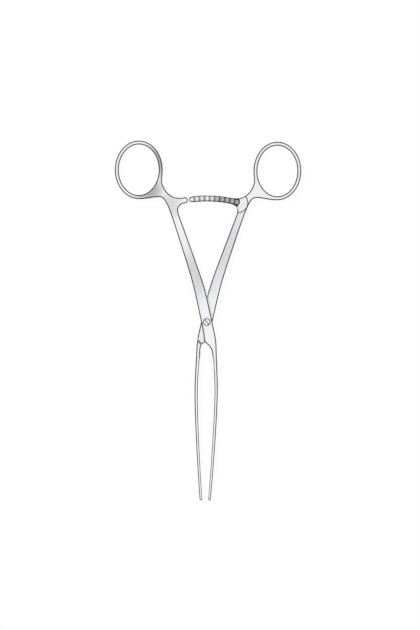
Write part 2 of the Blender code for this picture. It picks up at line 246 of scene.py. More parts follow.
@dataclass(frozen=True)
class RatchetFinish(SteelFinish):
    """The ratchet's teeth, with painted shade: bright at one edge of the bar and darker towards their root."""

    # Where the painted shade runs from none to full, across the bar along X
    shade_span: Point2 = (1 * MM, 8 * MM)
    # The painted shade's colour at the root of the bar
    root_shade_colour: str = "B4B5B9"

    def _colour(self, tree: bpy.types.NodeTree, place: bpy.types.NodeSocket,
                tone: bpy.types.NodeSocket) -> bpy.types.NodeSocket:
        """Blend the steel to the painted shade at the root, across the bar.

        Args:
            tree: the material's tree.
            place: object coordinates.
            tone: the cloudy tone of the steel.

        Returns:
            The output that carries the colour.
        """
        across = add_node(tree, "ShaderNodeSeparateXYZ", {0: place}).outputs["X"]
        share = add_node(tree, "ShaderNodeMapRange",
                         {"Value": across, "From Min": self.shade_span[0], "From Max": self.shade_span[1]},
                         interpolation_type="SMOOTHSTEP")
        # Painted shade: darker towards the root of the bar
        mixed = add_node(tree, "ShaderNodeMix", {0: share.outputs["Result"], 6: tone,
                                                 7: linear(self.root_shade_colour)}, data_type="RGBA")
        return mixed.outputs[2]


# Glass-bead blasted stainless steel: an even, soft glow with no sharp mirror image in it. Painted shade
# darkens the web of the left ring and both shanks. The real grain is near 0.05 mm, and it is drawn at
# 0.3 mm so that it shows at all.
SATIN = ShadedPatchFinish("stainless_steel_satin_blasted", "E8E9EB", "E0E1E4", 0.20, 0.04, 0.30 * MM, 0.002 * MM,
                      Lay.BLASTED, places=((-38, 84, 13, 1.0), (-31, 103, 16, 1.0), (-25, 74, 13, 0.4),
                                           (-8, 30, 24, 0.48), (13, 47, 36, 0.40), (44, 97, 26, 0.12)))
# Milled and ground stainless steel: brighter, with fine lines along the instrument.
GROUND = SteelFinish("stainless_steel_ground", "E6E7E9", "D8D9DC", 0.20, 0.04, 0.12 * MM, 0.002 * MM,
                     Lay.GROUND, 12.0)
# Filed stainless steel teeth: bright at one edge, with painted shade darker towards the root of the bar.
FILED = RatchetFinish("stainless_steel_filed_ratchet", "F0F0F1", "E6E7E8", 0.18, 0.03, 0.12 * MM, 0.001 * MM,
                      Lay.GROUND, 0.2)
# Turned and lapped stainless steel: faint rings that catch the light about the slot.
TURNED = SteelFinish("stainless_steel_turned", "EEEEEF", "E2E3E5", 0.16, 0.03, 0.10 * MM, 0.002 * MM,
                     Lay.TURNED)


def polar(radius: float, angle: float) -> Point2:
    """The point at a radius from the joint and an angle from +Y towards +X."""
    return radius * math.sin(angle), radius * math.cos(angle)


def spread(start: float, end: float, steps: int) -> list[float]:
    """Even values from start to end, both included."""
    return [start + (end - start) * i / steps for i in range(steps + 1)]


def smooth_between(points: tuple[Point2, ...], y: float) -> float:
    """Read a smooth curve through a few points.

    Args:
        points: (y, value) pairs whose y falls from first to last.
        y: where the curve is read.

    Returns:
        The value at y.
    """
    last = len(points) - 1
    slopes = []
    for i in range(last + 1):
        before, after = points[max(i - 1, 0)], points[min(i + 1, last)]
        slopes.append((after[1] - before[1]) / (after[0] - before[0]))
    i = next((k for k in range(last) if y >= points[k + 1][0]), last - 1)
    (y0, v0), (y1, v1) = points[i], points[i + 1]
    t = (y - y0) / (y1 - y0)
    rise, fall = 2 * t**3 - 3 * t**2 + 1, -2 * t**3 + 3 * t**2
    start, end = t**3 - 2 * t**2 + t, t**3 - t**2
    return rise * v0 + fall * v1 + (y1 - y0) * (start * slopes[i] + end * slopes[i + 1])


def object_from(name: str, bm: bmesh.types.BMesh,
                material: bpy.types.Material | None = None) -> bpy.types.Object:
    """Make a linked object from a bmesh.

    Args:
        name: the object's name.
        bm: the mesh, which is freed.
        material: its material, if it has one.

    Returns:
        The object, at the origin.
    """
    mesh = bpy.data.meshes.new(name)
    bm.to_mesh(mesh)
    bm.free()
    item = bpy.data.objects.new(name, mesh)
    bpy.context.scene.collection.objects.link(item)
    if material:
        mesh.materials.append(material)
    return item


def bake_modifiers(item: bpy.types.Object) -> None:
    """Turn an object's modifiers, and its place in the world, into its plain mesh.

    Args:
        item: the object, which ends at the origin.
    """
    bpy.context.view_layer.update()
    evaluated = item.evaluated_get(bpy.context.evaluated_depsgraph_get())
    mesh = bpy.data.meshes.new_from_object(evaluated)
    mesh.transform(item.matrix_world)
    mesh.name = item.name
    item.modifiers.clear()
    item.data = mesh
    item.matrix_world = Matrix.Identity(4)


def face_out(item: bpy.types.Object, material: bpy.types.Material) -> None:
    """Merge a mesh's doubles, point its faces outwards and leave it one material.

    Args:
        item: the object.
        material: what all its faces are made of.
    """
    bm = bmesh.new()
    bm.from_mesh(item.data)
    bmesh.ops.remove_doubles(bm, verts=bm.verts, dist=MERGE)
    bmesh.ops.recalc_face_normals(bm, faces=bm.faces)
    for face in bm.faces:
        face.material_index = 0
    bm.to_mesh(item.data)
    bm.free()
    item.data.materials.clear()
    item.data.materials.append(material)


def cut_all(item: bpy.types.Object, cutters: list[bpy.types.Object]) -> None:
    """Cut an object with each cutter in turn, and remove the cutters.

    Args:
        item: the object, whose place in the world is baked into its mesh.
        cutters: solids in the object's own frame. Each gives the cut faces its material.
    """
    for cutter in cutters:
        cutter.parent = item
        cut = item.modifiers.new(cutter.name, "BOOLEAN")
        cut.operation = "DIFFERENCE"
        cut.solver = "EXACT"
        cut.material_mode = "TRANSFER"
        cut.object = cutter
    bake_modifiers(item)
    for cutter in cutters:
        bpy.data.objects.remove(cutter, do_unlink=True)
    item.data.shade_smooth()
    item.data.set_sharp_from_angle(angle=SHARP)


def loft(name: str, sections: list[list[Point3]], material: bpy.types.Material) -> bpy.types.Object:
    """A closed solid through sections that have as many points each.

    Args:
        name: the object's name.
        sections: loops of points.
        material: its material.

    Returns:
        The solid.
    """
    bm = bmesh.new()
    loops = [[bm.verts.new(point) for point in section] for section in sections]
    for before, after in zip(loops, loops[1:]):
        for i, vert in enumerate(before):
            j = (i + 1) % len(before)
            bm.faces.new((vert, before[j], after[j], after[i]))
    bm.faces.new(loops[0])
    bm.faces.new(loops[-1])
    bmesh.ops.recalc_face_normals(bm, faces=bm.faces)
    return object_from(name, bm, material)


def stacked(outlines: list[tuple[float, list[Point2]]]) -> list[list[Point3]]:
    """Sections for a loft, from heights and their outlines."""
    return [[(x, y, z) for x, y in outline] for z, outline in outlines]


def swollen(outline: list[Point2], by: float) -> list[Point2]:
    """Move each corner of an anticlockwise outline outwards, by the same distance from both its sides.

    Args:
        outline: the corners.
        by: the distance.

    Returns:
        The larger outline.
    """
    # So that a sharp corner moves by twice the distance at most
    least = 0.5
    moved = []
    for i, point in enumerate(outline):
        here = Vector(point)
        before = (here - Vector(outline[i - 1])).normalized()
        after = (Vector(outline[(i + 1) % len(outline)]) - here).normalized()
        normal = Vector((before.y + after.y, -before.x - after.x)).normalized()
        reach = by / max(normal.dot(Vector((before.y, -before.x))), least)
        moved.append(tuple(here + normal * reach))
    return moved


def inside(point: Vector, outline: list[Point2]) -> bool:
    """Whether an outline encloses a point.

    Args:
        point: the point.
        outline: the outline's corners.

    Returns:
        True where the point lies inside.
    """
    hit = False
    for i, (x1, y1) in enumerate(outline):
        x0, y0 = outline[i - 1]
        spans = (y0 > point.y) != (y1 > point.y)
        if spans and point.x < x0 + (point.y - y0) * (x1 - x0) / (y1 - y0):
            hit = not hit
    return hit


def border_loops(mesh: bpy.types.Mesh) -> list[list[Vector]]:
    """The edge loops of a flat sheet, each with the sheet on its left.

    Args:
        mesh: the sheet, which faces up.

    Returns:
        The loops as points.
    """
    bm = bmesh.new()
    bm.from_mesh(mesh)
    onward = {}
    for edge in bm.edges:
        if edge.is_boundary:
            loop = edge.link_loops[0]
            onward[loop.vert] = loop.link_loop_next.vert
    loops = []
    while onward:
        vert = next(iter(onward))
        points = []
        while vert in onward:
            points.append(vert.co.copy())
            vert = onward.pop(vert)
        loops.append(points)
    bm.free()
    return loops


def circle(radius: float) -> list[Point2]:
    """Points round the joint's axis, anticlockwise."""
    angles = [math.tau * i / ROUND_STEPS for i in range(ROUND_STEPS)]
    return [(radius * math.cos(angle), radius * math.sin(angle)) for angle in angles]


def poly_curve(name: str, points: list[Point3], closed: bool) -> bpy.types.Object:
    """A straight-sided curve through points.

    Args:
        name: the object's name.
        points: the curve's points.
        closed: whether the last point joins the first.

    Returns:
        The curve as an object.
    """
    curve = bpy.data.curves.new(name, "CURVE")
    curve.dimensions = "3D"
    spline = curve.splines.new("POLY")
    spline.points.add(len(points) - 1)
    for spot, point in zip(spline.points, points):
        spot.co = (*point, 1.0)
    spline.use_cyclic_u = closed
    item = bpy.data.objects.new(name, curve)
    bpy.context.scene.collection.objects.link(item)
    return item


class RuleTree:
    """A geometry nodes tree that makes a cutter from named sizes."""

    NAME = ""
    INPUTS: tuple[tuple[str, str], ...] = ()

    def __init__(self) -> None:
        """Build the tree once, with its named inputs."""
        self.tree = bpy.data.node_groups.new(self.NAME, "GeometryNodeTree")
        self.sockets = {}
        for name, kind in self.INPUTS:
            made = self.tree.interface.new_socket(name, in_out="INPUT", socket_type=f"NodeSocket{kind}")
            self.sockets[name] = made.identifier
        self.tree.interface.new_socket("Geometry", in_out="OUTPUT", socket_type="NodeSocketGeometry")
        given = add_node(self.tree, "NodeGroupInput").outputs
        shape = self._shape(given)
        real = add_node(self.tree, "GeometryNodeRealizeInstances", {0: shape})
        dressed = add_node(self.tree, "GeometryNodeSetMaterial", {"Geometry": real.outputs[0],
                                                                  "Material": given["Steel"]})
        add_node(self.tree, "NodeGroupOutput", {0: dressed.outputs[0]})

    def _shape(self, given: bpy.types.bpy_prop_collection) -> bpy.types.NodeSocket:
        """Lay the nodes that make the shape, and return the output that carries it."""
        raise NotImplementedError

    def cutter(self, name: str, values: dict[str, object]) -> bpy.types.Object:
        """Make a cutter with this tree.

        Args:
            name: the object's name.
            values: the tree's inputs by name.

        Returns:
            The cutter as a plain mesh.
        """
        item = object_from(name, bmesh.new())
        nodes = item.modifiers.new(self.NAME, "NODES")
        nodes.node_group = self.tree
        for key, value in values.items():
            nodes[self.sockets[key]] = value
        bake_modifiers(item)
        face_out(item, values["Steel"])
        return item


class SawTree(RuleTree):
    """A block bent round the ratchet's arc, with saw teeth on its upper side.

    The block has three rows of points for each tooth: the tooth's crest, the end of its ramp and the
    gullet under the next crest. The angle and the height of each row follow from the pitch, the count
    and the tooth's height. Along both edges of the bar the teeth fall away, as filed edges do.
    """

    NAME = "saw teeth on an arc"
    INPUTS = (("Radius", "Float"), ("Width", "Float"), ("Room", "Float"), ("Start", "Float"), ("Pitch", "Float"),
              ("Edge", "Float"), ("Gullet", "Float"), ("Bow", "Float"), ("Crest", "Float"), ("Foot", "Float"),
              ("Gullet depth", "Float"), ("Edge width", "Float"), ("Edge fall", "Float"), ("Count", "Int"),
              ("Depth", "Float"), ("Steel", "Material"))
    COLUMNS = 25
    # What each sum is called, how it is made, and the sums, inputs and numbers that it reads
    SUMS: tuple[tuple[str, str, tuple[str | float, ...]], ...] = (
        # The block's rows, three for each tooth, and which of the three a point is in
        ("rows", "MULTIPLY_ADD", ("Count", 3.0, 1.0)),
        ("last row", "SUBTRACT", ("rows", 1.0)),
        ("share along", "ADD", ("along", 0.5)),
        ("exact row", "MULTIPLY", ("share along", "last row")),
        ("row", "ROUND", ("exact row",)),
        ("mid row", "ADD", ("row", 0.5)),
        ("exact tooth", "DIVIDE", ("mid row", 3.0)),
        ("tooth", "FLOOR", ("exact tooth",)),
        ("tooth's row", "MULTIPLY", ("tooth", 3.0)),
        ("part", "SUBTRACT", ("row", "tooth's row")),
        ("on ramp end", "COMPARE", ("part", 1.0, 0.1)),
        ("in gullet", "COMPARE", ("part", 2.0, 0.1)),
        # How far a row has turned from its tooth's crest
        ("to gullet", "SUBTRACT", ("Pitch", "Edge")),
        ("to ramp end", "SUBTRACT", ("to gullet", "Gullet")),
        ("ramp turn", "MULTIPLY", ("on ramp end", "to ramp end")),
        ("gullet turn", "MULTIPLY", ("in gullet", "to gullet")),
        ("turn", "ADD", ("ramp turn", "gullet turn")),
        # The place across the bar, and the bow of the rows, which is level past the bar's edges
        ("reach", "MULTIPLY_ADD", ("Room", 2.0, "Width")),
        ("aside", "MULTIPLY", ("across", "reach")),
        ("half width", "MULTIPLY", ("Width", 0.5)),
        ("share", "DIVIDE", ("aside", "half width")),
        ("share squared", "MULTIPLY", ("share", "share")),
        ("square", "MINIMUM", ("share squared", 2.0)),
        ("bow share", "SUBTRACT", (1.0, "square")),
        ("bow", "MULTIPLY", ("Bow", "bow share")),
        # The place on the arc
        ("crest angle", "MULTIPLY_ADD", ("tooth", "Pitch", "Start")),
        ("turn and bow", "ADD", ("turn", "bow")),
        ("angle", "ADD", ("crest angle", "turn and bow")),
        ("radius", "ADD", ("Radius", "aside")),
        ("sine", "SINE", ("angle",)),
        ("cosine", "COSINE", ("angle",)),
        ("x", "MULTIPLY", ("radius", "sine")),
        ("y", "MULTIPLY", ("radius", "cosine")),
        # The filed edges. The first tooth only clears the way to the root's gullet, so it has none
        ("less edge", "MULTIPLY", ("Edge width", -1.0)),
        ("to edge", "MULTIPLY_ADD", ("Width", 0.5, "less edge")),
        ("from middle", "ABSOLUTE", ("aside",)),
        ("over edge", "SUBTRACT", ("from middle", "to edge")),
        ("past edge", "MAXIMUM", ("over edge", 0.0)),
        ("edge fall", "MULTIPLY", ("past edge", "Edge fall")),
        ("has edges", "GREATER_THAN", ("row", 2.5)),
        ("fall", "MULTIPLY", ("edge fall", "has edges")),
        # The height: the crest's, the ramp's end or the gullet's on top, and the block's depth below
        ("low", "SUBTRACT", ("Foot", "Crest")),
        ("past crest", "ADD", ("on ramp end", "in gullet")),
        ("ramp drop", "MULTIPLY", ("past crest", "low")),
        ("gullet drop", "MULTIPLY_ADD", ("in gullet", "Gullet depth", "ramp drop")),
        ("rise", "ADD", ("gullet drop", "Crest")),
        ("filed rise", "ADD", ("rise", "fall")),
        ("top", "GREATER_THAN", ("up", 0.0)),
        ("bottom", "SUBTRACT", (1.0, "top")),
        ("less depth", "MULTIPLY", ("Depth", -1.0)),
        ("drop", "MULTIPLY", ("bottom", "less depth")),
        ("top height", "MULTIPLY", ("filed rise", "top")),
        ("z", "ADD", ("top height", "drop")),
    )

    def _shape(self, given: bpy.types.bpy_prop_collection) -> bpy.types.NodeSocket:
        """Lay a block, its rows' angles and heights, and the bent result.

        Args:
            given: the tree's inputs.

        Returns:
            The output that carries the bent block.
        """
        tree = self.tree
        position = add_node(tree, "GeometryNodeInputPosition").outputs[0]
        spot = add_node(tree, "ShaderNodeSeparateXYZ", {0: position})
        known = {name: given[name] for name, _ in self.INPUTS}
        known |= dict(zip(("across", "along", "up"), spot.outputs))
        for name, operation, reads in self.SUMS:
            inputs = {i: known[read] if isinstance(read, str) else read for i, read in enumerate(reads)}
            known[name] = add_node(tree, "ShaderNodeMath", inputs, operation=operation).outputs[0]
        block = add_node(tree, "GeometryNodeMeshCube", {"Size": (1.0, 1.0, 1.0), "Vertices X": self.COLUMNS,
                                                        "Vertices Y": known["rows"], "Vertices Z": 2})
        place = add_node(tree, "ShaderNodeCombineXYZ", {axis.upper(): known[axis] for axis in "xyz"})
        bent = add_node(tree, "GeometryNodeSetPosition", {"Geometry": block.outputs["Mesh"],
                                                          "Position": place.outputs[0]})
        return bent.outputs[0]


class GrooveTree(RuleTree):
    """A comb drawn along the clamping face, which grinds it flat and grooves it."""

    NAME = "comb along the clamping face"
    INPUTS = (("Path", "Object"), ("Comb", "Object"), ("Steel", "Material"))

    def _shape(self, given: bpy.types.bpy_prop_collection) -> bpy.types.NodeSocket:
        """Sweep the comb along the path, level with the instrument.

        Args:
            given: the tree's inputs.

        Returns:
            The output that carries the swept comb.
        """
        path = add_node(self.tree, "GeometryNodeObjectInfo", {"Object": given["Path"]})
        comb = add_node(self.tree, "GeometryNodeObjectInfo", {"Object": given["Comb"]})
        level = add_node(self.tree, "GeometryNodeSetCurveNormal", {"Curve": path.outputs["Geometry"]},
                         mode="Z_UP")
        swept = add_node(self.tree, "GeometryNodeCurveToMesh", {"Curve": level.outputs[0],
                                                                "Profile Curve": comb.outputs["Geometry"],
                                                                "Fill Caps": True})
        return swept.outputs[0]


@dataclass(frozen=True)
class Joint:
    """The lap joint where the halves cross."""

    depth: float = 5.6 * MM
    width: float = 7.1 * MM
    tilt: float = math.radians(12.6)
    top: float = 20.0 * MM
    foot: float = 9.0 * MM
    lap_gap: float = 0.3 * MM
    shoulder_gap: float = 0.3 * MM
    closing_room: float = math.radians(2.3)
    opening_room: float = 5.6 * MM
    opening_end: float = math.radians(205)
    opening_steps: int = 32
    lower_reach: float = 12.6 * MM
    lower_bearing: float = math.radians(-68.6)
    lower_slope: float = math.radians(50.0)
    lower_draft: float = 1.3 * MM

    def centre(self, y: float) -> float:
        """The middle of the tilted bar that passes through the joint."""
        return -y * math.tan(self.tilt)

    @property
    def bar(self) -> float:
        """The width of the tilted bar, measured along X."""
        return self.width / math.cos(self.tilt)

    def outline(self, draft: float, swell: float, far: float) -> list[Point2]:
        """The recess for the other half, seen from outside.

        Args:
            draft: how far the lower shoulder stands off its line.
            swell: how far the whole outline is moved outwards.
            far: how far the outline reaches beyond the steel.

        Returns:
            The corners.
        """
        bearing = math.pi - self.tilt + self.closing_room
        reach = self.width / 2 + self.shoulder_gap + swell
        radius = self.opening_room + swell
        out = Vector((math.cos(bearing), math.sin(bearing)))
        along = Vector((-out.y, out.x))
        corners = [tuple(out * reach - along * far)]
        start = bearing - math.acos(reach / radius)
        for angle in spread(start, self.opening_end, self.opening_steps):
            corners.append((radius * math.cos(angle), radius * math.sin(angle)))
        slope = Vector((math.cos(self.lower_slope), math.sin(self.lower_slope)))
        low = Vector((math.cos(self.lower_bearing), math.sin(self.lower_bearing))) * self.lower_reach
        low += Vector((slope.y, -slope.x)) * (draft + swell)
        run = slope * far / 2
        return corners + [(-far / 2, (low - run).y), tuple(low - run), tuple(low + run)]


@dataclass(frozen=True)
class Ring:
    """A finger ring: an upright oval of bar stock."""

    centre_x: float = 44.25 * MM
    rise: float = 17.8 * MM
    hole: Point2 = (25.4 * MM, 32.2 * MM)
    bar: Point2 = (2.6 * MM, 4.5 * MM)
    segments: int = 16

    @property
    def loss(self) -> float:
        """How much subdivision draws in the ring's loop."""
        return (4 + 2 * math.cos(math.tau / self.segments)) / 6

    def point(self, centre_y: float, angle: float, offset: float) -> Point2:
        """A cage point, offset outwards from the middle of the bar."""
        across, along = ((hole + self.bar[0]) / 2 / self.loss + offset for hole in self.hole)
        return across * math.cos(angle) - self.centre_x, along * math.sin(angle) + centre_y


@dataclass(frozen=True)
class Shank:
    """The tapered shank from the web under the ring down to the joint."""

    top_drop: float = 13.0 * MM
    top_x: float = 20.0 * MM
    top_width: float = 5.1 * MM
    foot_y: float = 29.0 * MM
    foot_x: float = 7.15 * MM
    foot_width: float = 6.7 * MM
    depth: float = 4.4 * MM
    # Where one more cage row lies, as a share of the height of the joint's top
    lap_row: float = 0.4


@dataclass(frozen=True)
class Jaw:
    """The long bowed jaw, with its grooved clamping face."""

    length: float = 113.82 * MM
    root_y: float = 20.0 * MM
    root_x: float = 5.35 * MM
    root_width: float = 2.3 * MM
    root_depth: float = 5.0 * MM
    belly_y: float = 45.0 * MM
    belly_x: float = 6.45 * MM
    belly_width: float = 2.1 * MM
    waist_y: float = 82.0 * MM
    waist_x: float = 4.9 * MM
    tip_x: float = 2.75 * MM
    tip_width: float = 1.6 * MM
    tip_depth: float = 3.2 * MM
    tip_round: float = 1.6 * MM
    rows: int = 3
    face_stock: float = 0.35 * MM
    groove_count: int = 4
    groove_pitch: float = 0.62 * MM
    groove_depth: float = 0.3 * MM
    groove_start: float = 23.0 * MM
    # A groove across its pitch: shares of the pitch, and of the groove's depth
    groove_shape: tuple[Point2, ...] = ((0.1, 0.0), (0.45, 1.0), (0.55, 1.0), (0.9, 0.0))
    face_steps: int = 59
    # How far the face's cutter reaches beyond the steel
    beyond: float = 2 * MM

    def section(self, y: float) -> Point3:
        """Read the jaw's sizes.

        Args:
            y: the place along the jaw, which is below zero.

        Returns:
            Centre, width and depth.
        """
        root, belly, waist, tip = -self.root_y, -self.belly_y, -self.waist_y, -self.length
        centre = ((root, self.root_x), (belly, self.belly_x), (waist, self.waist_x), (tip, self.tip_x))
        width = ((root, self.root_width), (belly, self.belly_width), (tip, self.tip_width))
        depth = ((root, self.root_depth), (tip, self.tip_depth))
        return smooth_between(centre, y), smooth_between(width, y), smooth_between(depth, y)

    def stations(self) -> list[float]:
        """Spread the cage rows between the named places.

        Returns:
            The distance of each row from the joint.
        """
        places = (self.root_y, self.belly_y, self.waist_y, self.length - self.tip_round)
        rows = [self.root_y]
        for start, end in zip(places, places[1:]):
            rows += spread(start, end, self.rows)[1:]
        return rows + [self.length]

    def comb(self, depth: float) -> list[Point3]:
        """The outline of the clamping face's cutter.

        Args:
            depth: how far it reaches above and below the jaw's middle.

        Returns:
            Its corners, across the jaw and up.
        """
        edge = [(0.0, -depth)]
        foot = -self.groove_pitch * self.groove_count / 2
        for k in range(self.groove_count):
            start = foot + k * self.groove_pitch
            for share, cut in self.groove_shape:
                edge.append((-cut * self.groove_depth, start + share * self.groove_pitch))
        edge += [(0.0, depth), (self.beyond, depth), (self.beyond, -depth)]
        return [(x, z, 0.0) for x, z in edge]

    def face_path(self) -> list[Point3]:
        """Trace the clamping face.

        Returns:
            Points from the start of its grooves to past the tip.
        """
        path = []
        for y in spread(-self.groove_start, -(self.length + self.beyond), self.face_steps):
            centre, width, _ = self.section(y)
            path.append((centre - width / 2, y, 0.0))
        return path


@dataclass(frozen=True)
class Ratchet:
    """The toothed bar and its stub, about the joint's axis."""

    radius: float = 79.0 * MM
    width: float = 3.8 * MM
    room: float = 0.7 * MM
    count: int = 10
    stub_count: int = 2
    pitch: float = math.radians(2.355)
    height: float = 0.65 * MM
    gap: float = 0.35 * MM
    bow: float = math.radians(0.35)
    edge: float = math.radians(0.06)
    gullet: float = math.radians(0.42)
    gullet_depth: float = 0.41 * MM
    filed_edge: float = 0.66 * MM
    filed_fall: float = 0.68
    root_crest: float = math.radians(14.5)
    root: float = math.radians(-15.0)
    arm_root: float = math.radians(-12.6)
    arm_end: float = math.radians(9.1)
    stub_end: float = math.radians(-9.3)
    channel_start: float = math.radians(-24.0)
    channel_steps: int = 12
    pocket_radius: float = 5.9 * MM
    pocket_angle: float = math.radians(-14.27)
    pocket_drop: float = 0.27 * MM
    pocket_steps: int = 40
    cage_step: float = math.radians(4.5)
    cut_depth: float = 10 * MM
    # The width of the gullets under the stub, as a share of the pitch
    stub_gullet: float = 0.02

    def end(self, side: Side) -> float:
        """The angle of the free end: a stub on the front half, the long arm on the rear one."""
        return self.stub_end if side is Side.FRONT else self.arm_end

    def pairs(self, side: Side) -> list[tuple[Point2, Point2]]:
        """Lay out the bar or the stub.

        Args:
            side: the half that it belongs to.

        Returns:
            Cage points of its two edges, from the shank to its free end.
        """
        end, outer, inner = self.end(side), self.radius + self.width / 2, self.radius - self.width / 2
        count = max(2, round((end - self.arm_root) / self.cage_step))
        return [(polar(outer, a), polar(inner, a)) for a in spread(self.arm_root, end, count)]

    def pocket(self) -> list[Point2]:
        """Draw the D-shaped pocket at the root of the toothed bar, whose straight side is at the root's crest.

        Returns:
            Its corners, anticlockwise.
        """
        centre = Vector(polar(self.radius - self.pocket_drop, self.pocket_angle))
        side = Vector(polar(self.radius, -self.root_crest))
        out = side.normalized()
        sideways = Vector((out.y, -out.x))
        across = (side - centre).dot(sideways)
        half = math.sqrt(self.pocket_radius**2 - across**2)
        first, last = (sideways * across + out * half * sign for sign in (1, -1))
        start, end = math.atan2(first.y, first.x), math.atan2(last.y, last.x)
        end += math.tau if end < start else 0
        return [(centre.x + self.pocket_radius * math.cos(a), centre.y + self.pocket_radius * math.sin(a))
                for a in spread(start, end, self.pocket_steps)]

    def tip(self) -> list[Point2]:
        """Draw an outline round the tip of the long arm, from the crest next to it on.

        Returns:
            Its corners, anticlockwise.
        """
        start, end, half = self.tip_crest + self.bow / 2, self.arm_end + 2 * self.pitch, self.width
        return [polar(self.radius + half, start), polar(self.radius - half, start),
                polar(self.radius - half, end), polar(self.radius + half, end)]

    @property
    def tip_crest(self) -> float:
        """The angle of the crest next to the tip."""
        return (self.count - 1) * self.pitch - self.root_crest

    def ramp(self, point: Vector) -> float:
        """Read the height of the ramp between the tip's crest and the tip.

        Args:
            point: where it is read.

        Returns:
            The height from the middle of the forging.
        """
        along = math.atan2(point.x, point.y) - self.tip_crest
        share = along / (self.pitch - self.edge - self.gullet)
        return self.height * (min(max(share, 0.0), 1.0) - 0.5)

    def saw(self, side: Side) -> dict[str, float | int]:
        """Size the cutter of one half's teeth, which leaves the steel above it.

        Args:
            side: the half.

        Returns:
            The saw tree's inputs by name.
        """
        shared = {"Radius": self.radius, "Width": self.width, "Room": self.room, "Pitch": self.pitch,
                  "Edge": self.edge, "Bow": self.bow, "Depth": self.cut_depth, "Edge width": self.filed_edge}
        if side is Side.REAR:
            # The rear half is turned over, so its bow is the other way round for both rows to match.
            # One more gullet at the root lies in the pocket, and one more tooth at the tip in the air.
            return shared | {"Start": self.bow - self.root_crest - self.pitch, "Count": self.count + 2,
                             "Crest": -self.height / 2, "Foot": self.height / 2, "Gullet": self.gullet,
                             "Gullet depth": self.gullet_depth, "Bow": -self.bow, "Edge fall": self.filed_fall}
        ceiling = self.height / 2 + self.gap
        return shared | {"Start": self.stub_end - self.stub_count * self.pitch, "Count": self.stub_count,
                         "Crest": ceiling, "Foot": ceiling - self.height,
                         "Gullet": self.stub_gullet * self.pitch, "Gullet depth": 0.0, "Edge fall": 0.0}


